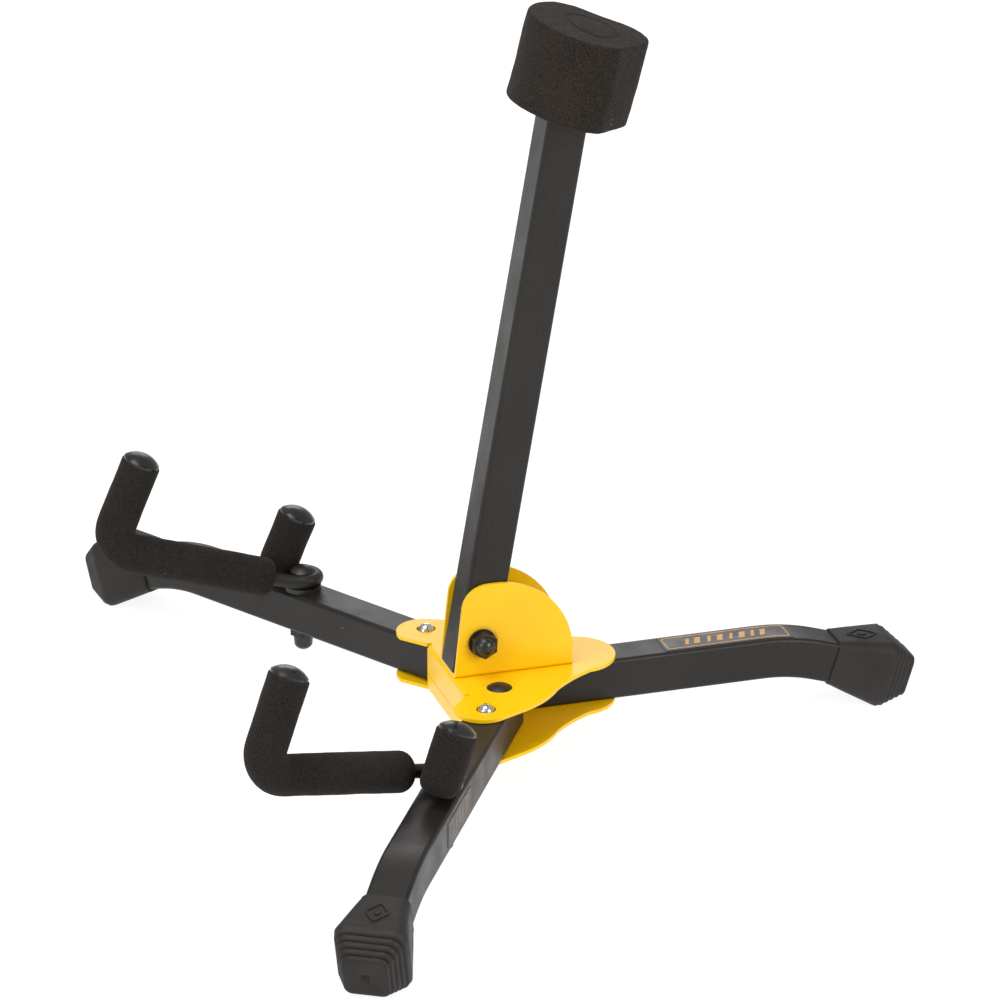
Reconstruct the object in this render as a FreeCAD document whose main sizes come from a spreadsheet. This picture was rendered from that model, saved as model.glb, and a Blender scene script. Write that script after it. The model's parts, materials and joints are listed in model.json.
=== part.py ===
"""Folding tripod stand for one guitar, modelled open, in millimetres.

+Z is up, the instrument side (the yokes) faces -Y and the fixed rear leg points to +Y.
The stand is symmetric about X = 0. Z = 0 is the floor.
"""
import FreeCAD, Part
import Sketcher
import math
import os
from types import SimpleNamespace

from FreeCAD import Placement, Rotation, Vector

SIZES = {
    # square tubes
    "tube": 17.4, "tube_wall": 1.5, "tube_corner": 1.8, "tube_play": 0.3,
    # legs: heights from the floor, distances along the leg from its pivot
    "leg_underside": 17.8, "leg_spread": 59.0, "pivot_x": 23.4, "pivot_y": 9.8,
    "leg_tail": 8.0, "bend_start": 152.0, "bend_radius": 80.0, "bend_angle": 17.5,
    "neck_run": 7.3, "rear_leg_start": 21.0, "rear_bend_start": 132.0,
    # rubber feet, along the sloping end of the leg
    "foot_neck": 19.8, "foot_shoulder": 30.0, "foot_end": 17.6, "foot_taper": 23.9,
    "foot_nose": 12.4, "foot_steps": 5, "foot_socket": 20.0, "foot_round": 3.2,
    # hub sheets
    "sheet_thick": 1.5, "flange_y": -6.6, "flange_half": 26.0, "flange_meet": 24.2,
    "flange_gap": 0.3, "front_lobe_x": 41.5, "front_lobe_y": -3.0, "front_lobe_r": 12.2,
    "rear_lobe_y": 49.8, "rear_lobe_r": 17.4, "recess_r": 6.8, "recess_deep": 0.3,
    "hub_rivet_a": 28.0, "hub_rivet_b": 41.0, "hub_rivet_r": 2.5,
    # hub outline: how far its points lie outside a lobe's edge or centre, and from its centre
    "notch": 2.4, "cheek_wide": 2.0, "cheek_step": 0.4, "lobe_from": 254.0, "lobe_mid": 315.0,
    "lobe_to": 15.0, "tail_from": 6.0, "waist_a_out": 5.9, "waist_a_fore": 8.0,
    "waist_b_out": 13.9, "waist_b_fore": 17.2, "hip_a_out": 1.0, "hip_a_aft": 24.5,
    "hip_b_out": 7.0, "hip_b_aft": 13.6,
    # leg pivots
    "pivot_r": 3.0, "pivot_play": 0.05, "bush_wall": 1.0, "rivet_head_r": 5.4,
    "rivet_head": 1.7, "end_play": 0.1,
    # lock buttons
    "lock_reach": 23.0, "button_r": 3.6, "button_rise": 2.4, "button_collar": 1.2,
    "lock_hole_r": 4.1, "spring_wire": 0.8, "spring_turns": 6,
    "wire_sides": 8,
    # mast and its bracket
    "mast_lean": 9.8, "mast_y": 6.4, "mast_z": 52.1, "mast_offset": 1.1, "mast_top": 255.0,
    "ear_play": 0.35, "ear_front": -5.6, "ear_back": 45.8, "ear_top": 77.8,
    "ear_round": 33.3, "ear_slope": 3.3, "ear_shoulder": 10.5, "ear_flat": 3.0,
    "ear_brow": 3.6, "bolt_r": 3.0, "bolt_head_r": 5.5, "washer_thick": 1.0,
    "washer_r": 6.0, "nut_flats": 10.0, "nut_thick": 4.0, "cap_r": 3.9, "cap_tall": 3.6,
    "cap_flare": 0.5, "cap_round": 0.6, "yoke_cap_tall": 7.2,
    # backrest pad
    "pad_lean": 15.0, "pad_over": 10.5, "pad_tall": 36.3, "pad_half": 31.0,
    "pad_front": 20.2, "pad_back": 29.8, "pad_flat": 9.0, "pad_round": 3.0,
    "pad_side": 9.5, "pad_bulge": 0.4, "pad_side_in": 2.0, "pad_heel_run": 2.0,
    "pad_heel_rise": 1.5, "pad_heel_flat": 5.0,
    # yokes, measured from the bolt on the leg
    "yoke_reach": 94.9, "right_yoke_turn": 17.2, "left_yoke_turn": 11.5, "rod_r": 3.0,
    "spacer_thick": 2.0,
    "spacer_r": 8.0, "rod_play": 0.12, "arm_level": 3.0, "arm_reach": 84.0,
    "arm_rise": 13.4, "prong_lean": 21.8, "front_prong": 42.0, "rear_prong": 25.2,
    "prong_gap": 1.8, "prong_aside": 48.33, "corner_r": 11.0, "kink_r": 14.0,
    "heel_r": 6.5, "foam_r": 8.5, "foam_start": 12.0, "foam_round": 5.0,
    "foam_drop": 1.6, "end_cap_r": 7.8, "end_cap_tall": 4.2, "end_cap_rim": 1.0,
    "end_cap_grip": 3.0,
    # trim
    "label_thick": 0.2, "rear_label_at": 88.5, "rear_label_long": 57.0,
    "rear_label_wide": 13.6, "side_label_at": 85.0, "side_label_long": 37.0,
    "side_label_wide": 10.6,
    # shift that brings the middle of the stand's box to Y = 0, set after everything is built
    "origin_y": 0.0,
}

doc = FreeCAD.newDocument("GuitarStand")
sheet = doc.addObject("Spreadsheet::Sheet", "Sizes")
for row, (alias, number) in enumerate(SIZES.items(), start=1):
    sheet.set(f"A{row}", alias)
    sheet.set(f"B{row}", str(number))
    sheet.setAlias(f"B{row}", alias)
doc.recompute()
s = SimpleNamespace(**{alias: float(sheet.get(alias)) for alias in SIZES})

# heights that several pieces share
LEG_TOP = s.leg_underside + s.tube
LEG_MIDDLE = s.leg_underside + s.tube / 2
PLATE_LOW = s.leg_underside - s.tube_play            # upper face of the bottom plate
PLATE_HIGH = LEG_TOP + s.tube_play                   # lower face of the top plate
HUB_TOP = PLATE_HIGH + s.sheet_thick
HUB_BOTTOM = PLATE_LOW - s.sheet_thick
WEB_TOP = HUB_TOP + s.sheet_thick
ROD_Z = LEG_TOP + s.spacer_thick + s.rod_play + s.rod_r
EAR_INSIDE = s.tube / 2 + s.ear_play
EAR_OUTSIDE = EAR_INSIDE + s.sheet_thick
HUB_TOP_CELL = "(Sizes.leg_underside + Sizes.tube + Sizes.tube_play + Sizes.sheet_thick)"
BIG = 400.0                                          # longer than any cut through the stand

NODES = []
SIDES = {"right": 1, "left": -1}


# ---------------------------------------------------------------- helpers

def keep(obj, label):
    """Give the finished sub-part its own label and list it for export."""
    obj.Label = label
    NODES.append(obj)
    return obj


def new_body(name):
    return doc.addObject("PartDesign::Body", name)


def new_sketch(body, name, role="XY_Plane", offset=0.0, cell=None):
    """A sketch flat on one of the body's own origin planes, or parallel to it."""
    sketch = body.newObject("Sketcher::SketchObject", name)
    plane = next(f for f in body.Origin.OriginFeatures if f.Role == role)
    sketch.AttachmentSupport = [(plane, "")]
    sketch.MapMode = "FlatFace"
    sketch.AttachmentOffset = Placement(Vector(0, 0, offset), Rotation())
    if cell:
        sketch.setExpression("AttachmentOffset.Base.z", cell)
    return sketch


def draw(sketch, start, *steps):
    """Closed outline: a step is an end point, or (middle, end) of a round stretch."""
    here = Vector(*start)
    first = here
    for step in steps + (start,):
        if isinstance(step[0], tuple):
            middle, end = Vector(*step[0]), Vector(*step[1])
            sketch.addGeometry(Part.Arc(here, middle, end))
        else:
            end = Vector(*step)
            if (end - here).Length < 1e-6:
                continue
            sketch.addGeometry(Part.LineSegment(here, end))
        here = end
    assert (here - first).Length < 1e-6
    return sketch


def circle(sketch, radius_cell, x=0.0, y=0.0):
    """A circle whose radius is bound to the sheet."""
    radius = float(sheet.evalExpression(radius_cell))
    index = sketch.addGeometry(Part.Circle(Vector(x, y), Vector(0, 0, 1), radius))
    number = sketch.addConstraint(Sketcher.Constraint("Radius", index, radius))
    sketch.setExpression(f"Constraints[{number}]", radius_cell)
    return sketch


def rounded_square(sketch, side, corner, x=0.0, y=0.0):
    half, cut = side / 2, corner * (1 - math.sqrt(0.5))
    inner = half - corner
    draw(sketch, (x - inner, y - half), (x + inner, y - half),
         ((x + half - cut, y - half + cut), (x + half, y - inner)), (x + half, y + inner),
         ((x + half - cut, y + half - cut), (x + inner, y + half)), (x - inner, y + half),
         ((x - half + cut, y + half - cut), (x - half, y + inner)), (x - half, y - inner),
         ((x - half + cut, y - half + cut), (x - inner, y - half)))
    return sketch


def pad(body, sketch, cell, middle=False, reverse=False):
    feature = body.newObject("PartDesign::Pad", sketch.Name + "_pad")
    feature.Profile = sketch
    feature.Midplane = middle
    feature.Reversed = reverse
    feature.setExpression("Length", cell)
    return feature


def pocket(body, sketch, cell, middle=False, reverse=False):
    """Cut the sketch away and make sure that the cut really removed something."""
    doc.recompute()
    before = body.Shape.Volume
    feature = body.newObject("PartDesign::Pocket", sketch.Name + "_pocket")
    feature.Profile = sketch
    feature.Midplane = middle
    feature.Reversed = reverse
    feature.setExpression("Length", cell)
    doc.recompute()
    if not body.Shape.Volume < before - 1e-3:
        raise RuntimeError(f"{feature.Name} cuts nothing")
    return feature


def round_edges(body, cell, wanted):
    """Fillet the body's edges whose middle point the test accepts."""
    doc.recompute()
    tip = body.Tip
    names = []
    for number, edge in enumerate(tip.Shape.Edges, start=1):
        middle = edge.valueAt((edge.FirstParameter + edge.LastParameter) / 2)
        if wanted(middle, edge):
            names.append(f"Edge{number}")
    if not names:
        raise RuntimeError(f"{body.Name} has no edge to round")
    feature = body.newObject("PartDesign::Fillet", body.Name + "_round" + str(len(body.Group)))
    feature.Base = (tip, names)
    feature.setExpression("Radius", cell)
    return feature


def turned(name, label, start, *steps):
    """A turned piece: the half outline (radius, height) spun about the body's Z axis."""
    body = new_body(name)
    sketch = draw(new_sketch(body, name + "_half", "XZ_Plane"), start, *steps)
    spin = body.newObject("PartDesign::Revolution", name + "_spin")
    spin.Profile = sketch
    spin.ReferenceAxis = (sketch, ["V_Axis"])
    spin.Angle = 360
    return keep(body, label)


def cut(base, tool, name):
    result = doc.addObject("Part::Cut", name)
    result.Base = base
    result.Tool = tool
    return result


def place(obj, x=0.0, y=0.0, z=0.0, turn=0.0, axis=(0, 0, 1), inner=None):
    """Put a sub-part in the stand's frame; its Y follows the sheet's origin shift."""
    where = Placement(Vector(x, y, z), Rotation(Vector(*axis), turn))
    if inner:
        where = where.multiply(inner)
    obj.Placement = where
    obj.setExpression("Placement.Base.y", f"Sizes.origin_y + {where.Base.y:.9f}")
    return obj


def leg_frame(side):
    """Where a front leg's own frame lies: X along the leg, origin on its pivot."""
    if side > 0:
        return dict(x=s.pivot_x, y=s.pivot_y, turn=s.leg_spread - 90)
    return dict(x=-s.pivot_x, y=s.pivot_y, turn=270 - s.leg_spread)


def dome(radius, rise, share=0.5):
    """Radius and height on a shallow dome, at a share of the way out from its middle."""
    ball = (radius ** 2 + rise ** 2) / (2 * rise)
    reach = radius * share
    return reach, math.sqrt(ball ** 2 - reach ** 2) - (ball - rise)


# ---------------------------------------------------------------- legs and feet

def on_bend(bend_start, angle, off):
    """Distance along the leg and height of a point on the bend, off above its middle line."""
    reach = s.bend_radius + off
    return (bend_start + reach * math.sin(angle),
            LEG_MIDDLE - s.bend_radius + reach * math.cos(angle))


def leg_outline(start, bend_start, half, tail):
    """Side view of a bent tube: straight, one bend down, then the run inside the foot."""
    turn = math.radians(s.bend_angle)
    end = s.neck_run + tail
    step = (end * math.cos(turn), -end * math.sin(turn))
    top, low = on_bend(bend_start, turn, half), on_bend(bend_start, turn, -half)
    return ((start, LEG_MIDDLE - half),
            [(bend_start, LEG_MIDDLE - half),
             (on_bend(bend_start, turn / 2, -half), low),
             (low[0] + step[0], low[1] + step[1]),
             (top[0] + step[0], top[1] + step[1]),
             top,
             (on_bend(bend_start, turn / 2, half), (bend_start, LEG_MIDDLE + half)),
             (start, LEG_MIDDLE + half)])


def bent_tube(name, start, bend_start, size, size_cell):
    body = new_body(name)
    outside = new_sketch(body, name + "_outside", "XZ_Plane")
    first, steps = leg_outline(start, bend_start, size / 2, s.foot_socket)
    pad(body, draw(outside, first, *steps), size_cell, middle=True)
    half = size / 2
    round_edges(body, "Sizes.tube_corner",
                lambda p, e: abs(abs(p.y) - half) < 1e-3 and e.Length > s.tube)
    inside = new_sketch(body, name + "_inside", "XZ_Plane")
    first, steps = leg_outline(start - 1, bend_start, half - s.tube_wall, s.foot_socket + 1)
    pocket(body, draw(inside, first, *steps), f"{size_cell} - 2 * Sizes.tube_wall", middle=True)
    return body


def through_hole(body, name, radius_cell, x, y=0.0, role="XY_Plane"):
    sketch = circle(new_sketch(body, name, role), radius_cell, x, y)
    return pocket(body, sketch, f"{BIG}", middle=True)


def foot(name, label, bend_start, size, **frame):
    """Stepped rubber boot on the sloping end of a tube, flattened where it meets the floor."""
    body = new_body(name + "_block")
    middle = s.foot_taper
    neck = rounded_square(new_sketch(body, name + "_neck"), s.foot_neck, s.foot_round)
    shoulder = rounded_square(new_sketch(body, name + "_shoulder", offset=middle,
                                         cell="Sizes.foot_taper"),
                              s.foot_shoulder, 2 * s.foot_round)
    loft = body.newObject("PartDesign::AdditiveLoft", name + "_taper")
    loft.Profile = neck
    loft.Sections = [shoulder]
    loft.Ruled = True
    steps = int(s.foot_steps)
    for number in range(steps):
        share = (number + 0.5) / steps
        side = s.foot_shoulder + (s.foot_end - s.foot_shoulder) * share
        corner = s.foot_round * (2 - share)
        sketch = new_sketch(body, f"{name}_step{number}", offset=middle,
                            cell=f"Sizes.foot_taper + Sizes.foot_nose * {number} / {steps}")
        pad(body, rounded_square(sketch, side, corner), f"Sizes.foot_nose / {steps}")
    doc.recompute()
    socket = rounded_square(new_sketch(body, name + "_socket"), size, s.tube_corner)
    pocket(body, socket, "Sizes.foot_socket", reverse=True)

    turn = math.radians(s.bend_angle)
    along = s.bend_radius * math.sin(turn) + s.neck_run * math.cos(turn)
    drop = s.bend_radius * (1 - math.cos(turn)) + s.neck_run * math.sin(turn)
    body.Placement = Placement(Vector(bend_start + along, 0, LEG_MIDDLE - drop),
                               Rotation(Vector(0, 1, 0), 90 + s.bend_angle))
    floor = doc.addObject("Part::Box", name + "_floor")
    floor.setExpression("Length", f"{BIG}")
    floor.setExpression("Width", f"{BIG}")
    floor.setExpression("Height", f"{BIG}")
    floor.Placement.Base = Vector(0, -BIG / 2, -BIG)
    return place(keep(cut(body, floor, name), label), **frame)


def rear_leg():
    size = s.tube + 2 * s.tube_play
    cell = "(Sizes.tube + 2 * Sizes.tube_play)"
    body = bent_tube("RearLeg", s.rear_leg_start, s.rear_bend_start, size, cell)
    for name, at in (("rivet_a", s.hub_rivet_a), ("rivet_b", s.hub_rivet_b)):
        through_hole(body, "RearLeg_" + name, "Sizes.hub_rivet_r", at)
    place(keep(body, "rear_leg"), turn=90)
    foot("RearFoot", "rear_foot", s.rear_bend_start, size, turn=90)


def front_leg(word, side):
    name = word.capitalize() + "Leg"
    frame = leg_frame(side)
    body = bent_tube(name, -s.leg_tail, s.bend_start, s.tube, "Sizes.tube")
    through_hole(body, name + "_pivot_hole",
                 "Sizes.pivot_r + Sizes.pivot_play + Sizes.bush_wall", 0)
    through_hole(body, name + "_yoke_hole", "Sizes.bolt_r", s.yoke_reach)
    button_hole = new_sketch(body, name + "_button_hole", offset=LEG_MIDDLE,
                             cell="Sizes.leg_underside + Sizes.tube / 2")
    circle(button_hole, "Sizes.button_r + 2 * Sizes.pivot_play", s.lock_reach)
    pocket(body, button_hole, "Sizes.tube", reverse=True)
    place(keep(body, word + "_leg"), **frame)
    foot(word.capitalize() + "Foot", word + "_foot", s.bend_start, s.tube, **frame)


# ---------------------------------------------------------------- hub

def hub_outline(sketch):
    """Three lobes: one over each front leg, joined across the front, and one to the rear."""
    x, y, r = s.front_lobe_x, s.front_lobe_y, s.front_lobe_r
    rear, big = s.rear_lobe_y, s.rear_lobe_r
    first, middle, last = s.lobe_from, s.lobe_mid, s.lobe_to

    def lobe(angle, side):
        return (side * (x + r * math.cos(math.radians(angle))),
                y + r * math.sin(math.radians(angle)))

    def tail(angle):
        return (big * math.cos(math.radians(angle)), rear + big * math.sin(math.radians(angle)))

    def flip(point):
        return (-point[0], point[1])

    waist = ((big + s.waist_a_out, rear - s.waist_a_fore),
             (big + s.waist_b_out, rear - s.waist_b_fore))
    hip = ((x + s.hip_a_out, y + s.hip_a_aft), (x + s.hip_b_out, y + s.hip_b_aft))
    cheek = (s.flange_half + s.cheek_wide, s.flange_y + s.notch)
    edge = (s.flange_half + s.cheek_wide, s.flange_y + s.cheek_step)
    front = (s.flange_half, s.flange_y)
    inner = (s.flange_half, s.flange_y + s.notch)
    return draw(sketch, front, inner, cheek, edge, lobe(first, 1),
                (lobe(middle, 1), lobe(last, 1)), hip[1], (hip[0], waist[1]),
                (waist[0], tail(s.tail_from)), (tail(90), tail(180 - s.tail_from)),
                (flip(waist[0]), flip(waist[1])), (flip(hip[0]), flip(hip[1])),
                lobe(last, -1), (lobe(middle, -1), lobe(first, -1)),
                flip(edge), flip(cheek), flip(inner), flip(front))


def pivot_points():
    return [(side * s.pivot_x, s.pivot_y) for side in SIDES.values()]


def lock_points():
    turn = math.radians(s.leg_spread)
    return [(side * (s.pivot_x + s.lock_reach * math.sin(turn)),
             s.pivot_y - s.lock_reach * math.cos(turn)) for side in SIDES.values()]


def hub_plate(name, label, low_cell, low, flange_cell, upward):
    """One half of the hub: a lobed plate with its front edge folded towards the other half."""
    body = new_body(name)
    plate = hub_outline(new_sketch(body, name + "_plate", cell=low_cell, offset=low))
    pad(body, plate, "Sizes.sheet_thick")
    lip = new_sketch(body, name + "_lip", cell=low_cell, offset=low)
    draw(lip, (-s.flange_half, s.flange_y), (s.flange_half, s.flange_y),
         (s.flange_half, s.flange_y + s.sheet_thick), (-s.flange_half, s.flange_y + s.sheet_thick))
    pad(body, lip, flange_cell, reverse=not upward)
    outer = low if upward else low + s.sheet_thick
    round_edges(body, "Sizes.sheet_thick * 1.4",
                lambda p, e: abs(p.y - s.flange_y) < 1e-3 and abs(p.z - outer) < 1e-3
                and e.Length > s.flange_half)
    for number, (x, y) in enumerate(pivot_points()):
        through_hole(body, f"{name}_pivot{number}", "Sizes.pivot_r", x, y)
    for word, at in (("a", s.hub_rivet_a), ("b", s.hub_rivet_b)):
        through_hole(body, f"{name}_rivet_{word}", "Sizes.hub_rivet_r", 0, at)
    return place(keep(body, label))


def hub():
    top = hub_plate("TopPlate", "hub_top_plate",
                    "Sizes.leg_underside + Sizes.tube + Sizes.tube_play", PLATE_HIGH,
                    "Sizes.leg_underside + Sizes.tube + Sizes.tube_play"
                    " - Sizes.flange_meet - Sizes.flange_gap / 2", False)
    for number, (x, y) in enumerate(lock_points()):
        through_hole(top, f"TopPlate_lock{number}", "Sizes.lock_hole_r", x, y)
    for number, (x, y) in enumerate(pivot_points()):
        recess = new_sketch(top, f"TopPlate_recess{number}", cell=HUB_TOP_CELL, offset=HUB_TOP)
        pocket(top, circle(recess, "Sizes.recess_r", x, y), "Sizes.recess_deep")
    hub_plate("BottomPlate", "hub_bottom_plate",
              "Sizes.leg_underside - Sizes.tube_play - Sizes.sheet_thick", HUB_BOTTOM,
              "Sizes.flange_meet - Sizes.flange_gap / 2"
              " - Sizes.leg_underside + Sizes.tube_play + Sizes.sheet_thick", True)
    mast_bracket()
    hub_rivets()


def mast_bracket():
    """Folded channel on the hub: a flat web and two round-backed ears for the mast bolt."""
    body = new_body("Bracket")
    block = new_sketch(body, "Bracket_ear", "YZ_Plane")
    front, back, top, r = s.ear_front, s.ear_back, s.ear_top, s.ear_round
    crown = (back - r, top)
    shoulder = (front + s.ear_slope, top - s.ear_shoulder)
    draw(block, (front, HUB_TOP), (back, HUB_TOP), (back, top - r),
         ((back - r * (1 - math.sqrt(0.5)), top - r * (1 - math.sqrt(0.5))), crown),
         (crown[0] - s.ear_flat, top), ((shoulder[0] + s.ear_brow, top - s.ear_flat), shoulder))
    pad(body, block, "Sizes.tube + 2 * Sizes.ear_play + 2 * Sizes.sheet_thick", middle=True)
    outside = EAR_OUTSIDE
    round_edges(body, "Sizes.sheet_thick",
                lambda p, e: abs(abs(p.x) - outside) < 1e-3 and abs(p.z - HUB_TOP) < 1e-3)
    gap = new_sketch(body, "Bracket_gap", "YZ_Plane")
    draw(gap, (front - 5, WEB_TOP), (back + 5, WEB_TOP), (back + 5, top + 5), (front - 5, top + 5))
    pocket(body, gap, "Sizes.tube + 2 * Sizes.ear_play", middle=True)
    through_hole(body, "Bracket_bolt_hole", "Sizes.bolt_r", s.mast_y, s.mast_z, role="YZ_Plane")
    for word, at in (("a", s.hub_rivet_a), ("b", s.hub_rivet_b)):
        through_hole(body, f"Bracket_rivet_{word}", "Sizes.hub_rivet_r", 0, at)
    for word, side in SIDES.items():
        half = "(Sizes.tube / 2 + Sizes.ear_play + Sizes.sheet_thick)"
        recess = new_sketch(body, f"Bracket_recess_{word}", "YZ_Plane", offset=side * outside,
                            cell=half if side > 0 else f"-{half}")
        circle(recess, "Sizes.recess_r", s.mast_y, s.mast_z)
        pocket(body, recess, "Sizes.recess_deep", reverse=side < 0)
    place(keep(body, "mast_bracket"))


def rivet(name, label, radius, low, high, x, y):
    """Solid rivet with a domed head on top and a flatter formed head below."""
    head, rise = s.rivet_head_r, s.rivet_head
    if radius < s.pivot_r:
        head, rise = head * radius / s.pivot_r, rise * 0.8
    reach, tall = dome(head, rise)
    foot_reach, foot_tall = dome(head * 0.85, rise * 0.7)
    body = turned(name, label, (0, low - rise * 0.7),
                  ((foot_reach, low - foot_tall), (head * 0.85, low)), (radius, low),
                  (radius, high), (head, high), ((reach, high + tall), (0, high + rise)))
    return place(body, x, y)


def hub_rivets():
    """The two rivets that clamp bracket, plates and rear leg, as one group."""
    pair = []
    for word, at in (("A", s.hub_rivet_a), ("B", s.hub_rivet_b)):
        pair.append(rivet("HubRivet" + word, "hub_rivet_" + word.lower(), s.hub_rivet_r,
                          HUB_BOTTOM, WEB_TOP, 0, at))
        NODES.pop()
    group = doc.addObject("Part::Compound", "HubRivets")
    group.Links = pair
    for one in pair:
        one.setExpression("Placement.Base.y", None)
    place(keep(group, "hub_rivets"))


def leg_pivot(word, side):
    x, y = side * s.pivot_x, s.pivot_y
    name = word.capitalize()
    rivet(name + "Rivet", word + "_pivot_rivet", s.pivot_r, HUB_BOTTOM,
          HUB_TOP - s.recess_deep, x, y)
    inner = s.pivot_r + s.pivot_play
    low, high = PLATE_LOW + s.end_play, PLATE_HIGH - s.end_play
    bush = turned(name + "Bush", word + "_pivot_bush", (inner, low), (inner + s.bush_wall, low),
                  (inner + s.bush_wall, high), (inner, high))
    place(bush, **leg_frame(side))


def lock(word, side):
    """Spring-loaded round-nosed button that pins the open leg to the top plate."""
    name = word.capitalize()
    frame = leg_frame(side)
    inner = Placement(Vector(s.lock_reach, 0, 0), Rotation())
    r = s.button_r
    nose = HUB_TOP + s.button_rise
    collar_top = LEG_TOP - s.tube_wall - s.end_play
    collar_low = collar_top - s.button_collar
    collar_r = r + s.button_collar
    button = turned(name + "Button", word + "_lock_button", (0, collar_low),
                    (collar_r, collar_low), (collar_r, collar_top), (r, collar_top),
                    (r, nose - r), ((r * math.sqrt(0.5), nose - r * (1 - math.sqrt(0.5))),
                                    (0, nose)))
    place(button, inner=inner, **frame)

    inside = s.tube - 2 * s.tube_wall
    floor = s.leg_underside + s.tube_wall
    bore = collar_r + 2 * s.pivot_play
    guide = new_body(name + "Guide")
    block = new_sketch(guide, name + "_guide_block", offset=floor,
                       cell="Sizes.leg_underside + Sizes.tube_wall")
    rounded_square(block, inside, 1.0)
    pad(guide, block, "Sizes.tube - 2 * Sizes.tube_wall")
    well = new_sketch(guide, name + "_guide_well", offset=floor + s.sheet_thick,
                      cell="Sizes.leg_underside + Sizes.tube_wall + Sizes.sheet_thick")
    circle(well, "Sizes.button_r + Sizes.button_collar + 2 * Sizes.pivot_play")
    pocket(guide, well, "Sizes.tube", reverse=True)
    place(keep(guide, word + "_button_guide"), inner=inner, **frame)

    low = floor + s.sheet_thick
    tall = collar_low - low - s.spring_wire
    coil_r = bore - s.spring_wire
    helix = Part.makeHelix(tall / s.spring_turns, tall, coil_r)
    sides = int(s.wire_sides)
    corners = [2 * math.pi * k / sides for k in range(sides + 1)]
    ring = Part.makePolygon([Vector(coil_r + s.spring_wire / 2 * math.cos(a), 0,
                                    s.spring_wire / 2 * math.sin(a)) for a in corners])
    spring = doc.addObject("Part::Feature", name + "Spring")
    spring.Shape = Part.Wire(helix).makePipeShell([ring], True, True)
    lift = Placement(Vector(s.lock_reach, 0, low + s.spring_wire / 2), Rotation())
    place(keep(spring, word + "_button_spring"), inner=lift, **frame)


# ---------------------------------------------------------------- mast and backrest

def mast_frame():
    return dict(y=s.mast_y, z=s.mast_z, turn=-s.mast_lean, axis=(1, 0, 0))


def mast():
    """Square tube whose foot is cut level with the web and rounded about its own bolt."""
    lean = math.radians(s.mast_lean)
    clear = s.mast_z - WEB_TOP - s.tube_play
    front, back = -s.tube / 2 - s.mast_offset, s.tube / 2 - s.mast_offset

    def side_view(sketch, front, back, foot, top):
        toe = (front, (front * math.sin(lean) - foot) / math.cos(lean))
        heel = (foot * math.sin(lean), -foot * math.cos(lean))
        ankle = (back, -math.sqrt(foot ** 2 - back ** 2))
        turn = (math.atan2(heel[1], heel[0]) + math.atan2(ankle[1], ankle[0])) / 2
        curve = (foot * math.cos(turn), foot * math.sin(turn))
        return draw(sketch, toe, heel, (curve, ankle), (back, top), (front, top))

    body = new_body("Mast")
    outside = side_view(new_sketch(body, "Mast_outside", "YZ_Plane"), front, back, clear, s.mast_top)
    pad(body, outside, "Sizes.tube", middle=True)
    round_edges(body, "Sizes.tube_corner",
                lambda p, e: abs(abs(p.x) - s.tube / 2) < 1e-3 and e.Length > 10 * s.tube)
    wall = s.tube_wall
    hollow = new_sketch(body, "Mast_inside", "YZ_Plane")
    draw(hollow, (front + wall, -s.tube), (back - wall, -s.tube), (back - wall, s.mast_top + 5),
         (front + wall, s.mast_top + 5))
    pocket(body, hollow, "Sizes.tube - 2 * Sizes.tube_wall", middle=True)
    through_hole(body, "Mast_bolt_hole", "Sizes.bolt_r + Sizes.pivot_play + Sizes.bush_wall",
                 0, 0, role="YZ_Plane")
    place(keep(body, "mast_tube"), **mast_frame())

    along_x = Placement(Vector(), Rotation(Vector(0, 1, 0), 90))
    inner = s.bolt_r + s.pivot_play
    half = s.tube / 2
    bush = turned("MastBush", "mast_bush", (inner, -half), (inner + s.bush_wall, -half),
                  (inner + s.bush_wall, half), (inner, half))
    place(bush, inner=along_x, **mast_frame())


def mast_fasteners():
    """Bolt, washer, nut and domed nut cap on the mast's pivot, along +X."""
    along_x = dict(y=s.mast_y, z=s.mast_z, turn=90, axis=(0, 1, 0))
    seat = EAR_OUTSIDE - s.recess_deep
    rise = s.rivet_head * 1.4
    reach, tall = dome(s.bolt_head_r, rise)
    nut_low = seat + s.washer_thick
    end = nut_low + s.nut_thick
    bolt = turned("MastBolt", "mast_bolt", (0, -seat - rise),
                  ((reach, -seat - tall), (s.bolt_head_r, -seat)), (s.bolt_r, -seat),
                  (s.bolt_r, end), (0, end))
    place(bolt, **along_x)
    washer = turned("MastWasher", "mast_washer", (s.bolt_r, seat), (s.washer_r, seat),
                    (s.washer_r, nut_low), (s.bolt_r, nut_low))
    place(washer, **along_x)
    hex_nut("MastNut", "mast_nut", nut_low, **along_x)
    nut_cap("MastNutCap", "mast_nut_cap", end, 1, **along_x)


def hex_nut(name, label, low, **frame):
    body = new_body(name)
    sketch = new_sketch(body, name + "_hex", offset=low)
    corner = s.nut_flats / math.sqrt(3)
    points = [(corner * math.cos(math.radians(60 * k)), corner * math.sin(math.radians(60 * k)))
              for k in range(6)]
    draw(sketch, points[0], *points[1:])
    pad(body, sketch, "Sizes.nut_thick")
    through_hole(body, name + "_thread", "Sizes.bolt_r", 0)
    return place(keep(body, label), **frame)


def nut_cap(name, label, start, way, tall=None, **frame):
    """Round-ended cap that covers the bolt's end, growing away from the nut."""
    tall = tall or s.cap_tall
    shoulder = start + way * (tall - s.cap_r * s.cap_round)
    reach, rise = dome(s.cap_r, s.cap_r * s.cap_round, 0.6)
    cap = turned(name, label, (0, start), (s.cap_r + s.cap_flare, start), (s.cap_r, shoulder),
                 ((reach, shoulder + way * rise), (0, start + way * tall)))
    return place(cap, **frame)


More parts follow.
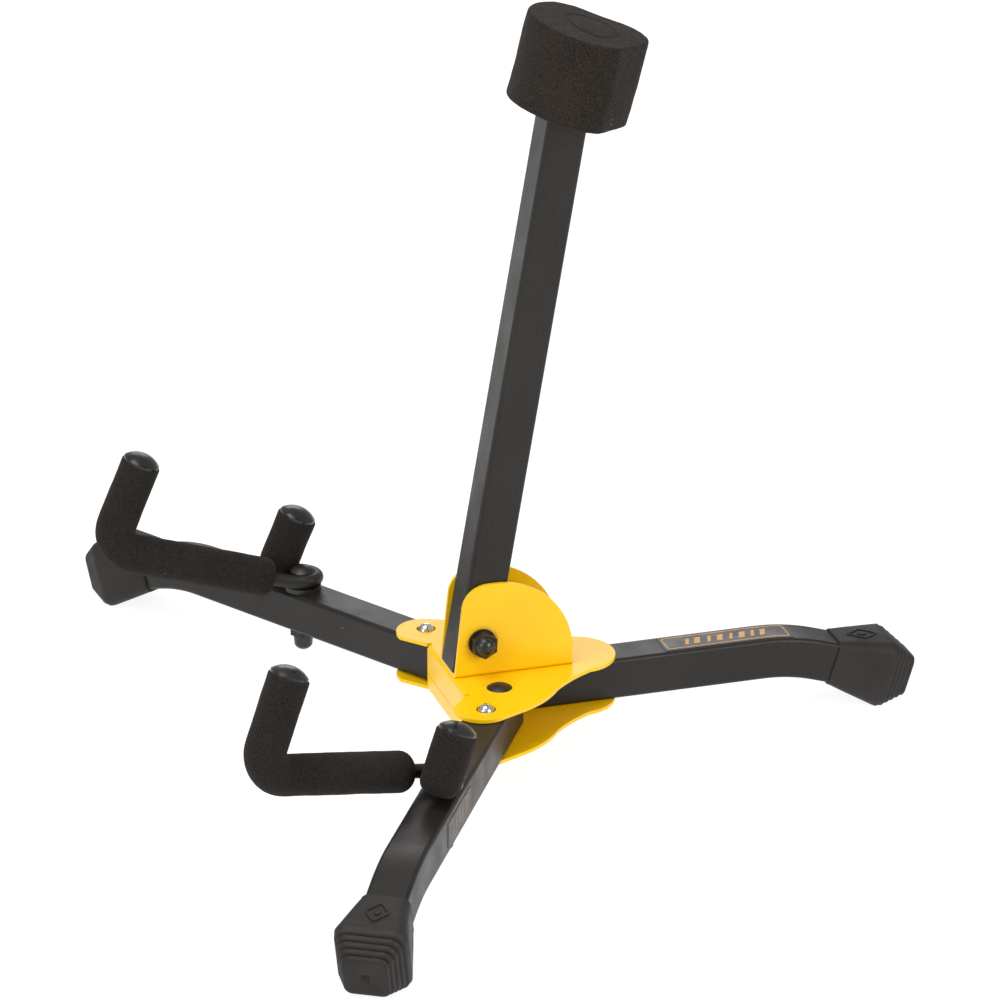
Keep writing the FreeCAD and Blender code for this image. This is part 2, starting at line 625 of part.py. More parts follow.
def backrest():
    """Foam pad over the mast's end, on a plug that closes the tube."""
    inside = s.tube - 2 * s.tube_wall
    plug = new_body("Plug")
    stem = new_sketch(plug, "Plug_stem", offset=s.mast_top, cell="Sizes.mast_top")
    rounded_square(stem, inside, 0.6, 0, -s.mast_offset)
    pad(plug, stem, "Sizes.tube", reverse=True)
    head = new_sketch(plug, "Plug_head", offset=s.mast_top, cell="Sizes.mast_top")
    rounded_square(head, s.tube, s.tube_corner, 0, -s.mast_offset)
    pad(plug, head, "Sizes.sheet_thick")
    place(keep(plug, "backrest_plug"), **mast_frame())

    foam = new_body("PadFoam")
    plan = new_sketch(foam, "PadFoam_plan")
    half, front, back, flat = s.pad_half, s.pad_front, s.pad_back, s.pad_flat
    side, bulge, heel = s.pad_side, s.pad_bulge, flat + s.pad_heel_run
    ledge = flat - s.pad_heel_flat
    bend = ((heel + ledge) / 2, back - s.pad_heel_rise / 4)
    puff = (half + bulge, side * 0.53)
    draw(plan, (-half, 0), ((0, -front), (half, 0)),
         (puff, (half - s.pad_side_in, side)), (heel, back - s.pad_heel_rise),
         (bend, (ledge, back)), (-ledge, back),
         ((-bend[0], bend[1]), (-heel, back - s.pad_heel_rise)), (s.pad_side_in - half, side),
         ((-puff[0], puff[1]), (-half, 0)))
    pad(foam, plan, "Sizes.pad_tall")
    round_edges(foam, "Sizes.pad_round",
                lambda p, e: min(abs(p.z), abs(p.z - s.pad_tall)) < 1e-3)
    extra = s.pad_lean - s.mast_lean
    top = Placement(Vector(0, -s.mast_offset, s.mast_top + s.pad_over), Rotation(Vector(1, 0, 0), -extra))
    foam.Placement = top.multiply(Placement(Vector(0, 0, -s.pad_tall), Rotation()))
    hole = new_body("PadHole")
    shaft = rounded_square(new_sketch(hole, "PadHole_plan"), s.tube, s.tube_corner, 0,
                           -s.mast_offset)
    pad(hole, shaft, "Sizes.mast_top + Sizes.sheet_thick")
    place(keep(cut(foam, hole, "Pad"), "backrest_pad"), **mast_frame())


# ---------------------------------------------------------------- yokes

def bend_path(points, radii):
    """Edges of a bent rod: straight runs with a tangent arc at each inner point."""
    edges = []
    here = points[0]
    for corner, after, radius in zip(points[1:-1], points[2:], radii):
        before = (here - corner).normalize()
        onward = (after - corner).normalize()
        half = before.getAngle(onward) / 2
        leg = radius / math.tan(half)
        start, end = corner + before * leg, corner + onward * leg
        middle_way = (before + onward).normalize()
        middle = corner + middle_way * (radius / math.sin(half) - radius)
        edges.append(Part.LineSegment(here, start).toShape())
        edges.append(Part.Arc(start, middle, end).toShape())
        here = end
    edges.append(Part.LineSegment(here, points[-1]).toShape())
    return edges


def sweep(edges, radius):
    """Solid round bar along tangent edges; its volume is tested against its length."""
    path = Part.Wire(edges)
    first = path.Edges[0]
    start = first.valueAt(first.FirstParameter)
    ring = Part.Wire(Part.makeCircle(radius, start, first.tangentAt(first.FirstParameter)))
    bar = path.makePipeShell([ring], True, False)
    if abs(bar.Volume / (math.pi * radius ** 2 * path.Length) - 1) > 0.01:
        raise RuntimeError("a swept bar has the wrong volume")
    return bar


def yoke_points(side):
    """Corners of one yoke's rod, with X along its arm and the bolt's axis at the origin."""
    loop = s.bolt_r + s.pivot_play + s.rod_r
    rise, lean = math.radians(s.arm_rise), math.radians(s.prong_lean)
    inner_y = -side * loop
    corner = Vector(s.arm_reach, inner_y, (s.arm_reach - s.arm_level) * math.tan(rise))
    up = Vector(-math.sin(lean), 0, math.cos(lean))
    reach, aside = s.bolt_head_r + s.foam_r + s.prong_gap, math.radians(s.prong_aside)
    heel = Vector(reach * math.cos(aside), side * reach * math.sin(aside), 0)
    spread = math.atan2(heel.x, side * heel.y) - math.acos(loop / heel.Length)
    leave = Vector(loop * math.sin(spread), side * loop * math.cos(spread), 0)
    half_way = math.atan2(-leave.x, -side * leave.y) / 2
    return SimpleNamespace(
        up=up, corner=corner, heel=heel, leave=leave,
        level=Vector(s.arm_level, inner_y, 0), beside=Vector(0, inner_y, 0),
        behind=Vector(-loop * math.sin(half_way), -side * loop * math.cos(half_way), 0),
        arm=Vector(math.cos(rise), 0, math.sin(rise)),
        front_top=corner + up * s.front_prong, rear_top=heel + up * s.rear_prong)


def yoke_frame(side):
    """Placement of a yoke's own frame on its leg's bolt."""
    leg = leg_frame(side)
    turn = math.radians(leg["turn"])
    return dict(x=leg["x"] + s.yoke_reach * math.cos(turn),
                y=leg["y"] + s.yoke_reach * math.sin(turn), z=ROD_Z,
                turn=-90 + side * (s.right_yoke_turn if side > 0 else s.left_yoke_turn))


def yoke(word, side):
    name = word.capitalize()
    frame = yoke_frame(side)
    p = yoke_points(side)
    grip = p.up * s.end_cap_grip
    arm_edges = bend_path([p.front_top + grip, p.corner, p.level, p.beside],
                          [s.corner_r, s.kink_r])
    loop = Part.Arc(p.beside, p.behind, p.leave).toShape()
    heel_edges = bend_path([p.leave, p.heel, p.rear_top + grip], [s.heel_r])
    rod = doc.addObject("Part::Feature", name + "Rod")
    rod.Shape = sweep(arm_edges + [loop] + heel_edges, s.rod_r)
    place(keep(rod, word + "_yoke_rod"), **frame)

    start = p.level + p.arm * ((s.foam_start - s.arm_level) / p.arm.x)
    sleeve = sweep(bend_path([p.front_top, p.corner, start], [s.corner_r]), s.foam_r)
    longer = [p.front_top + p.up, p.corner, start - p.arm]
    bore = sweep(bend_path(longer, [s.corner_r]), s.rod_r)
    foam_sleeve(name + "ArmFoam", word + "_arm_foam", sleeve, bore, start, frame)
    low = p.heel - p.up * s.foam_drop
    sleeve = Part.makeCylinder(s.foam_r, (p.rear_top - low).Length, low, p.up)
    bore = sweep(heel_edges, s.rod_r)
    foam_sleeve(name + "ProngFoam", word + "_prong_foam", sleeve, bore, low, frame)

    for place_word, top in (("front", p.front_top), ("rear", p.rear_top)):
        end_cap(name + place_word.capitalize() + "Cap", f"{word}_{place_word}_cap", top, frame)
    yoke_fasteners(word, side)


def foam_sleeve(name, label, sleeve, bore, round_end, frame):
    """Foam tube on the rod, with its lower or inner end rounded off and the rod's bore cut."""
    rim = min(sleeve.Edges, key=lambda e: (e.CenterOfMass - round_end).Length)
    rounded = sleeve.makeFillet(s.foam_round, [rim])
    hollow = rounded.cut(bore)
    if hollow.common(bore).Volume > 0.01 or hollow.Volume > 0.95 * rounded.Volume:
        raise RuntimeError(f"{name} has no bore")
    foam = doc.addObject("Part::Feature", name)
    foam.Shape = hollow
    place(keep(foam, label), **frame)


def end_cap(name, label, top, frame):
    """Glossy domed cap on a prong's end, standing on the foam's rim."""
    r, rim = s.end_cap_r, s.end_cap_rim
    rise = s.end_cap_tall - rim
    reach, tall = dome(r, rise, 0.6)
    cap = turned(name, label, (0, s.end_cap_grip), (s.rod_r, s.end_cap_grip), (s.rod_r, 0),
                 (r, 0), (r, rim), ((reach, rim + tall), (0, rim + rise)))
    inner = Placement(top, Rotation(Vector(0, 1, 0), -s.prong_lean))
    place(cap, inner=inner, **frame)


def yoke_fasteners(word, side):
    """Bolt, spacer, nut and nut cap that hold a yoke on its leg."""
    name = word.capitalize() + "Yoke"
    frame = leg_frame(side)
    inner = Placement(Vector(s.yoke_reach, 0, 0), Rotation())
    seat = LEG_TOP + s.spacer_thick + 2 * (s.rod_play + s.rod_r)
    rise = s.rivet_head * 1.4
    reach, tall = dome(s.bolt_head_r, rise)
    end = s.leg_underside - s.nut_thick
    bolt = turned(name + "Bolt", word + "_yoke_bolt", (0, end), (s.bolt_r, end),
                  (s.bolt_r, seat), (s.bolt_head_r, seat),
                  ((reach, seat + tall), (0, seat + rise)))
    place(bolt, inner=inner, **frame)
    spacer = turned(name + "Spacer", word + "_yoke_spacer", (s.bolt_r, LEG_TOP),
                    (s.spacer_r, LEG_TOP), (s.spacer_r, LEG_TOP + s.spacer_thick),
                    (s.bolt_r, LEG_TOP + s.spacer_thick))
    place(spacer, inner=inner, **frame)
    hex_nut(name + "Nut", word + "_yoke_nut", end, inner=inner, **frame)
    nut_cap(name + "NutCap", word + "_yoke_nut_cap", end, -1, tall=s.yoke_cap_tall,
            inner=inner, **frame)


# ---------------------------------------------------------------- trim

def labels():
    """Thin printed plates: one on top of the rear leg, one on the right leg's rear face."""
    half, thick = s.tube / 2 + s.tube_play, s.label_thick
    start, bend_start = s.rear_label_at, s.rear_bend_start
    turn = (start + s.rear_label_long - bend_start) / (s.bend_radius + half)
    low, high = half, half + thick
    body = new_body("RearLabel")
    side_view = new_sketch(body, "RearLabel_side", "XZ_Plane")
    draw(side_view, (start, LEG_MIDDLE + low), (bend_start, LEG_MIDDLE + low),
         (on_bend(bend_start, turn / 2, low), on_bend(bend_start, turn, low)),
         on_bend(bend_start, turn, high),
         (on_bend(bend_start, turn / 2, high), (bend_start, LEG_MIDDLE + high)),
         (start, LEG_MIDDLE + high))
    pad(body, side_view, "Sizes.rear_label_wide", middle=True)
    place(keep(body, "rear_leg_label"), turn=90)

    plate = doc.addObject("Part::Box", "SideLabel")
    plate.setExpression("Length", "Sizes.side_label_long")
    plate.setExpression("Width", "Sizes.label_thick")
    plate.setExpression("Height", "Sizes.side_label_wide")
    corner = Vector(s.side_label_at, s.tube / 2, LEG_MIDDLE - s.side_label_wide / 2)
    place(keep(plate, "right_leg_label"), inner=Placement(corner, Rotation()), **leg_frame(1))


# ---------------------------------------------------------------- build and write

def centre_on_origin():
    """Shift every sub-part in Y so that the middle of the stand's box is over the origin."""
    doc.recompute()
    box = FreeCAD.BoundBox()
    for node in NODES:
        box.add(node.Shape.optimalBoundingBox())
    sheet.set(sheet.getCellFromAlias("origin_y"), f"{-(box.YMin + box.YMax) / 2:.3f}")
    doc.recompute()


def check():
    for obj in doc.Objects:
        if "Invalid" in obj.State or "Error" in obj.State:
            raise RuntimeError(f"{obj.Name} failed: {obj.State}")
    for node in NODES:
        if node.Shape.isNull() or not node.Shape.isValid():
            raise RuntimeError(f"{node.Label} has no valid shape")


rear_leg()
hub()
mast()
mast_fasteners()
backrest()
for word, side in SIDES.items():
    front_leg(word, side)
    leg_pivot(word, side)
    lock(word, side)
    yoke(word, side)
labels()
centre_on_origin()
check()

os.makedirs("parts", exist_ok=True)
for node in NODES:
    node.Shape.exportStep(f"parts/{node.Label}.step")
print(len(NODES), "sub-parts")
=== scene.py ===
"""Looks of a folding guitar stand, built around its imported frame. Metres, +Z up."""
import json
import math

import bmesh
import bpy
from mathutils import Matrix, Vector, noise


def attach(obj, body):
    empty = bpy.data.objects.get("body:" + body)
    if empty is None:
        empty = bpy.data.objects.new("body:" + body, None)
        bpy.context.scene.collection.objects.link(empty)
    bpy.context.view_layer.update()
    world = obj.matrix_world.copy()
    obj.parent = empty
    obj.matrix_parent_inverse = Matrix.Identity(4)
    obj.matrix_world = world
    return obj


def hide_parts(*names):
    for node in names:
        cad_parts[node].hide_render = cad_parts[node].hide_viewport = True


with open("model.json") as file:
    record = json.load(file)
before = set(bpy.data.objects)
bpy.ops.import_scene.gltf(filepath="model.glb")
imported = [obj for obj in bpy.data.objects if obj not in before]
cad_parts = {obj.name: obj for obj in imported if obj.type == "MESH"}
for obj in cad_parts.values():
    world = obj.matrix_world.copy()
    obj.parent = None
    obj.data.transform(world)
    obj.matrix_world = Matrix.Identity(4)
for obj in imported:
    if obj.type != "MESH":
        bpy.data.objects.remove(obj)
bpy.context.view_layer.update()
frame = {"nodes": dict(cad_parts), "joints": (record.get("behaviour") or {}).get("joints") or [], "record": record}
nodes = frame["nodes"]
joints = {j["name"]: j for j in frame["joints"]}
MM = 0.001
SIDES = {"right": 1, "left": -1}

# sizes shared with the metal parts, in millimetres and degrees
TUBE = 17.4
TUBE_PLAY = 0.3
LEG_MIDDLE = 26.5
SPREAD = 59.0
PIVOT_Y = 9.8
BEND_START = 152.0
REAR_BEND_START = 132.0
BEND_RADIUS = 80.0
BEND_ANGLE = 17.5
NECK_RUN = 7.3


# ---------------------------------------------------------------- camera and light

def look_along(side, up, back, place):
    """The camera's matrix from its three axes and its place in millimetres."""
    turn = Matrix((side, up, back)).transposed().to_4x4()
    return Matrix.Translation(Vector(place) * MM) @ turn


CAM_AZIMUTH, CAM_ELEVATION = math.radians(72.714), math.radians(22.553)
CAM_ROLL = math.radians(-0.0528)
CAM_DISTANCE = 2462.39
CAM_TARGET = Vector((41.52, joints["right_leg_fold"]["pos_m"][1] / MM - 5.32, 128.65))
CAM_SCALE = 2.46481

back = Vector((math.sin(CAM_AZIMUTH) * math.cos(CAM_ELEVATION),
               -math.cos(CAM_AZIMUTH) * math.cos(CAM_ELEVATION), math.sin(CAM_ELEVATION)))
level = Vector((math.cos(CAM_AZIMUTH), math.sin(CAM_AZIMUTH), 0))
above = back.cross(level)
right = level * math.cos(CAM_ROLL) + above * math.sin(CAM_ROLL)
upright = above * math.cos(CAM_ROLL) - level * math.sin(CAM_ROLL)

camera_data = bpy.data.cameras.new("camera")
camera_data.sensor_width = 36
camera_data.lens = CAM_SCALE * CAM_DISTANCE / 1000 * 36
camera_data.clip_start, camera_data.clip_end = 0.1, 50
camera = bpy.data.objects.new("camera", camera_data)
camera.matrix_world = look_along(right, upright, back, CAM_TARGET + back * CAM_DISTANCE)
bpy.context.scene.collection.objects.link(camera)
bpy.context.scene.camera = camera


def softbox(name, place, size, power, aim=(0, -20, 90)):
    """A square area lamp that faces the stand; place and aim in millimetres."""
    data = bpy.data.lights.new(name, "AREA")
    data.shape = "SQUARE"
    data.size = size
    data.energy = power
    lamp = bpy.data.objects.new(name, data)
    away = (Vector(place) - Vector(aim)).normalized()
    lamp.rotation_mode = "QUATERNION"
    lamp.rotation_quaternion = away.to_track_quat("Z", "Y")
    lamp.location = Vector(place) * MM
    bpy.context.scene.collection.objects.link(lamp)


softbox("top_light", (100, -500, 1700), 1.1, 15)
softbox("left_light", (700, -1500, 900), 0.8, 9)
softbox("right_light", (1200, 700, 800), 0.7, 10)
softbox("back_light", (-1500, 470, 760), 0.8, 3.6)

world = bpy.data.worlds.new("studio")
world.use_nodes = True
world.node_tree.nodes["Background"].inputs["Color"].default_value = (1, 1, 1, 1)
world.node_tree.nodes["Background"].inputs["Strength"].default_value = 0.45
bpy.context.scene.world = world
bpy.context.scene.view_settings.view_transform = "Standard"
bpy.context.scene.view_settings.look = "None"


# ---------------------------------------------------------------- materials

class Finish:
    """A node material on Object coordinates, put together step by step."""

    def __init__(self, name, roughness=0.5, metallic=0.0):
        self.material = bpy.data.materials.new(name)
        self.material.use_nodes = True
        self.tree = self.material.node_tree
        self.shader = self.tree.nodes["Principled BSDF"]
        self.shader.inputs["Roughness"].default_value = roughness
        self.shader.inputs["Metallic"].default_value = metallic
        self.place = self.tree.nodes.new("ShaderNodeTexCoord").outputs["Object"]

    def node(self, kind, **values):
        made = self.tree.nodes.new("ShaderNode" + kind)
        for key, value in values.items():
            if hasattr(made, key):
                setattr(made, key, value)
            else:
                made.inputs[key.replace("_", " ")].default_value = value
        return made

    def link(self, source, target):
        self.tree.links.new(source, target)

    def noise(self, scale, detail=4.0, rough=0.5, stretch=None):
        made = self.node("TexNoise", Scale=scale, Detail=detail, Roughness=rough)
        place = self.place
        if stretch:
            mapping = self.node("Mapping")
            mapping.inputs["Scale"].default_value = stretch
            self.link(place, mapping.inputs["Vector"])
            place = mapping.outputs["Vector"]
        self.link(place, made.inputs["Vector"])
        return made.outputs["Fac"]

    def cells(self, scale):
        made = self.node("TexVoronoi", Scale=scale)
        self.link(self.place, made.inputs["Vector"])
        return made

    def ramp(self, source, low, high, first=0.0, last=1.0):
        """The source between two levels stretched to first and last."""
        made = self.node("MapRange")
        for index, value in enumerate((low, high, first, last), start=1):
            made.inputs[index].default_value = value
        self.link(source, made.inputs[0])
        return made.outputs[0]

    def times(self, a, b):
        made = self.node("Math", operation="MULTIPLY")
        self.link(a, made.inputs[0])
        self.link(b, made.inputs[1])
        return made.outputs[0]

    def mix(self, share, a, b):
        """Colour a where share is 0 and b where it is 1, each a colour or a socket."""
        made = self.node("Mix", data_type="RGBA")
        self.link(share, made.inputs[0])
        for index, value in ((6, a), (7, b)):
            if isinstance(value, tuple):
                made.inputs[index].default_value = (*value, 1)
            else:
                self.link(value, made.inputs[index])
        return made.outputs[2]

    def dust(self, colour, scale, tint, rare=0.94, size=0.13):
        """Sparse light specks over a colour."""
        cell = self.cells(scale)
        near = self.ramp(cell.outputs["Distance"], size, size * 0.6)
        split = self.node("SeparateColor")
        self.link(cell.outputs["Color"], split.inputs[0])
        chosen = self.ramp(split.outputs[0], rare, rare + 0.01)
        return self.mix(self.times(near, chosen), colour, tint)

    def colour(self, source):
        self.link(source, self.shader.inputs["Base Color"])

    def rough(self, source):
        self.link(source, self.shader.inputs["Roughness"])

    def bump(self, *layers):
        """Layers of (height socket, depth in millimetres), one over another."""
        normal = None
        for height, depth in layers:
            made = self.node("Bump", Strength=1.0, Distance=depth * MM)
            self.link(height, made.inputs["Height"])
            if normal:
                self.link(normal, made.inputs["Normal"])
            normal = made.outputs["Normal"]
        self.link(normal, self.shader.inputs["Normal"])


def powder_coat():
    f = Finish("powder_coat")
    blotch = f.ramp(f.noise(28, 3), 0.35, 0.65)
    base = f.mix(blotch, (0.0115, 0.0095, 0.0082), (0.0160, 0.0134, 0.0118))
    grain = f.ramp(f.noise(2600, 2), 0.55, 0.75)
    base = f.mix(grain, base, (0.034, 0.030, 0.027))
    f.colour(f.dust(base, 300, (0.30, 0.28, 0.26), 0.985, 0.16))
    f.rough(f.ramp(f.noise(60, 4), 0.3, 0.7, 0.34, 0.46))
    f.bump((f.noise(900, 3), 0.030), (f.noise(2400, 2), 0.012))
    f.shader.inputs["Specular IOR Level"].default_value = 0.32
    return f.material


def yellow_enamel():
    f = Finish("yellow_enamel")
    base = f.mix(f.ramp(f.noise(22, 3), 0.35, 0.65), (0.92, 0.535, 0.001), (0.97, 0.585, 0.002))
    base = f.mix(f.ramp(f.noise(1900, 2), 0.60, 0.80), base, (0.78, 0.44, 0.001))
    f.colour(f.dust(base, 240, (0.25, 0.15, 0.03), 0.985, 0.12))
    f.rough(f.ramp(f.noise(45, 4), 0.3, 0.7, 0.26, 0.36))
    f.bump((f.noise(420, 3), 0.030), (f.noise(1600, 2), 0.008))
    f.shader.inputs["Specular IOR Level"].default_value = 0.35
    f.shader.inputs["Coat Weight"].default_value = 0.06
    f.shader.inputs["Coat Roughness"].default_value = 0.12
    return f.material


def boot_rubber():
    f = Finish("boot_rubber")
    base = f.mix(f.ramp(f.noise(40, 4), 0.35, 0.7), (0.0175, 0.0158, 0.0146), (0.027, 0.0246, 0.0228))
    f.colour(f.dust(base, 420, (0.20, 0.18, 0.16), 0.985, 0.14))
    f.rough(f.ramp(f.noise(90, 5), 0.3, 0.7, 0.48, 0.66))
    f.bump((f.noise(1400, 4), 0.035), (f.noise(160, 3), 0.05))
    f.shader.inputs["Specular IOR Level"].default_value = 0.28
    return f.material


def black_foam(name="black_foam", warm=0.0):
    """Fine-celled foam; warm is 0 for the sleeves' tone and 1 for the backrest's."""
    f = Finish(name)
    dark = (0.0088 + warm * 0.0007, 0.0071 + warm * 0.0003, 0.0060 - warm * 0.0002)
    light = (0.0225 + warm * 0.0015, 0.0184 + warm * 0.0004, 0.0156 - warm * 0.0007)
    cell = f.cells(1500)
    base = f.mix(f.ramp(cell.outputs["Distance"], 0.1, 0.75), dark, light)
    base = f.mix(f.ramp(f.noise(55, 5), 0.42, 0.72), base, light)
    bright, deep = 1.30 + warm * 0.40, 0.80 - warm * 0.20
    base = f.mix(f.ramp(f.noise(1250, 3, 0.7), 0.50, 0.66), base, tuple(c * bright for c in light))
    base = f.mix(f.ramp(f.noise(1600, 3, 0.7), 0.52, 0.66), base, tuple(c * deep for c in dark))
    f.colour(f.dust(base, 330, (0.22, 0.20, 0.17), 0.975, 0.14))
    f.rough(f.ramp(f.noise(300, 3), 0.3, 0.7, 0.82, 0.97))
    f.bump((cell.outputs["Distance"], 0.22), (f.noise(500, 4), 0.16), (f.noise(90, 3), 0.25))
    f.shader.inputs["Sheen Weight"].default_value = 0.03
    f.shader.inputs["Sheen Roughness"].default_value = 0.5
    f.shader.inputs["Specular IOR Level"].default_value = 0.12
    return f.material


def cap_plastic():
    f = Finish("cap_plastic")
    f.colour(f.mix(f.ramp(f.noise(90, 4), 0.4, 0.7), (0.009, 0.009, 0.009), (0.018, 0.017, 0.0165)))
    f.rough(f.ramp(f.noise(140, 4), 0.3, 0.7, 0.16, 0.34))
    f.bump((f.noise(500, 3), 0.02))
    return f.material


def dark_fastener():
    f = Finish("dark_fastener", metallic=0.35)
    base = f.mix(f.ramp(f.noise(180, 4), 0.4, 0.7), (0.016, 0.014, 0.013), (0.045, 0.036, 0.030))
    f.colour(f.dust(base, 900, (0.12, 0.09, 0.07), 0.95, 0.2))
    f.rough(f.ramp(f.noise(250, 4), 0.3, 0.7, 0.28, 0.5))
    f.bump((f.noise(1300, 3), 0.03))
    return f.material


def nylon():
    f = Finish("nylon")
    f.colour(f.mix(f.ramp(f.noise(120, 3), 0.4, 0.7), (0.012, 0.012, 0.012), (0.022, 0.021, 0.020)))
    f.rough(f.ramp(f.noise(120, 3), 0.3, 0.7, 0.34, 0.5))
    f.bump((f.noise(1100, 3), 0.02))
    return f.material


def chrome():
    f = Finish("chrome", metallic=1.0)
    f.colour(f.mix(f.ramp(f.noise(300, 3), 0.4, 0.7), (0.70, 0.69, 0.68), (0.80, 0.80, 0.80)))
    f.rough(f.ramp(f.noise(500, 3), 0.3, 0.7, 0.05, 0.13))
    f.bump((f.noise(900, 2), 0.004))
    return f.material


def spring_steel():
    f = Finish("spring_steel", metallic=1.0)
    drawn = f.noise(600, 3, stretch=(1, 1, 6))
    f.colour(f.mix(f.ramp(drawn, 0.3, 0.7), (0.42, 0.41, 0.40), (0.58, 0.57, 0.56)))
    f.rough(f.ramp(drawn, 0.3, 0.7, 0.25, 0.4))
    f.bump((drawn, 0.006))
    return f.material


def label_print():
    f = Finish("label_print")
    f.colour(f.mix(f.ramp(f.noise(200, 3), 0.4, 0.7), (0.011, 0.010, 0.0095), (0.017, 0.0155, 0.014)))
    f.rough(f.ramp(f.noise(150, 3), 0.3, 0.7, 0.30, 0.42))
    f.bump((f.noise(1500, 2), 0.006))
    return f.material


def gold_ink(name="gold_ink", strength=1.0):
    f = Finish(name)
    a = tuple(c * strength for c in (0.50, 0.235, 0.055))
    b = tuple(c * strength for c in (0.66, 0.34, 0.10))
    f.colour(f.mix(f.ramp(f.noise(700, 3), 0.35, 0.65), a, b))
    f.rough(f.ramp(f.noise(400, 3), 0.3, 0.7, 0.38, 0.5))
    f.bump((f.noise(2500, 2), 0.006))
    return f.material


FINISHES = {make.__name__: make() for make in (
    powder_coat, yellow_enamel, boot_rubber, black_foam, cap_plastic, dark_fastener, nylon,
    chrome, spring_steel, label_print)}
PAD_FOAM = black_foam("pad_foam", 1.0)
GOLD = gold_ink()
FADED_GOLD = gold_ink("faded_gold", 0.32)

for entry in frame["record"]["subparts"]:
    node = nodes[entry["node"]]
    node.data.materials.clear()
    node.data.materials.append(FINISHES[entry["material_slot"]])


# ---------------------------------------------------------------- mesh helpers

def finished(name, mesh, material, body, stands_for=()):
    """Turn a bmesh into a piece that rides on a body."""
    data = bpy.data.meshes.new(name)
    bmesh.ops.recalc_face_normals(mesh, faces=mesh.faces)
    mesh.to_mesh(data)
    mesh.free()
    piece = bpy.data.objects.new(name, data)
    bpy.context.scene.collection.objects.link(piece)
    data.materials.append(material)
    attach(piece, body)
    if stands_for:
        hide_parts(*stands_for)
    return piece


def smooth(piece, angle=35):
    """Smooth shading, sharp where faces meet at more than the angle."""
    mesh = bmesh.new()
    mesh.from_mesh(piece.data)
    for face in mesh.faces:
        face.smooth = True
    for edge in mesh.edges:
        edge.smooth = len(edge.link_faces) == 2 and edge.calc_face_angle(0) < math.radians(angle)
    mesh.to_mesh(piece.data)
    mesh.free()


def push(mesh, faces, matrix):
    """Extrude the faces and move the new ones by the matrix, leaving no face inside."""
    joined = any(other not in faces for f in faces for e in f.edges for other in e.link_faces)
    grown = bmesh.ops.extrude_face_region(mesh, geom=faces)["geom"]
    if joined:
        bmesh.ops.delete(mesh, geom=faces, context="FACES")
    fresh = [g for g in grown if isinstance(g, bmesh.types.BMFace)]
    points = {v for face in fresh for v in face.verts}
    bmesh.ops.transform(mesh, matrix=matrix, verts=list(points))
    return fresh


def rounded_face(mesh, side, corner, segments=6):
    """A flat square face with rounded corners, centred on the origin."""
    bmesh.ops.create_grid(mesh, x_segments=1, y_segments=1, size=side / 2)
    bmesh.ops.bevel(mesh, geom=list(mesh.verts), offset=corner, segments=segments,
                    affect="VERTICES", profile=0.5, material=-1)
    return list(mesh.faces)


def leg_frame(which):
    """A leg's own frame: X along the leg from its pivot, in metres."""
    pivot = Vector(joints["right_leg_fold"]["pos_m"])
    if which == "rear":
        return Matrix.Translation((0, pivot.y - PIVOT_Y * MM, 0)) @ Matrix.Rotation(math.pi / 2, 4, "Z")
    side = SIDES[which]
    turn = math.radians(SPREAD - 90 if side > 0 else 270 - SPREAD)
    return Matrix.Translation((side * pivot.x, pivot.y, 0)) @ Matrix.Rotation(turn, 4, "Z")


def end_frame(which):
    """Frame on the sloping end of a leg where its boot starts, Z outwards along the tube."""
    start = REAR_BEND_START if which == "rear" else BEND_START
    turn = math.radians(BEND_ANGLE)
    along = start + BEND_RADIUS * math.sin(turn) + NECK_RUN * math.cos(turn)
    drop = BEND_RADIUS * (1 - math.cos(turn)) + NECK_RUN * math.sin(turn)
    place = Matrix.Translation((along * MM, 0, (LEG_MIDDLE - drop) * MM))
    return leg_frame(which) @ place @ Matrix.Rotation(math.radians(90) + turn, 4, "Y")


# ---------------------------------------------------------------- boots

NECK, SHOULDER, TIP = 19.8, 30.0, 17.6
TAPER, NOSE, STEPS = 23.9, 12.4, 5
SOCKET, SOCKET_PLAY = 20.0, 0.06
EMBLEM_AT, EMBLEM_TALL, EMBLEM_SUNK = 12.5, 0.55, 0.08
LOZENGE, BEAD = (7.4, 5.4), (1.9, 1.4)
LOZENGE_ROUND, LOZENGE_LINE = 1.3, 0.8


def boot_profile():
    """Height along the boot and side of its section, from the lip at the neck to the nose."""
    rows = [(0.25, NECK - 0.1), (0.7, NECK + 0.35), (1.7, NECK + 0.55), (2.2, NECK + 0.75)]
    for share in (0.3, 0.6, 0.9):
        rows.append((TAPER * share, NECK + (SHOULDER - NECK) * share))
    rows.append((TAPER - 0.6, SHOULDER - 0.25))
    step = NOSE / STEPS
    for number in range(STEPS):
        side = SHOULDER + (TIP - SHOULDER) * (number + 0.5) / STEPS
        low, high = TAPER + number * step, TAPER + (number + 1) * step
        if number:
            rows.append((low + 0.10, side - 0.9))
        rows += [(low + 0.45, side + 0.15), (high - 0.55, side - 0.15), (high - 0.12, side - 0.8)]
    rows.append((TAPER + NOSE, TIP - 0.6))
    return rows


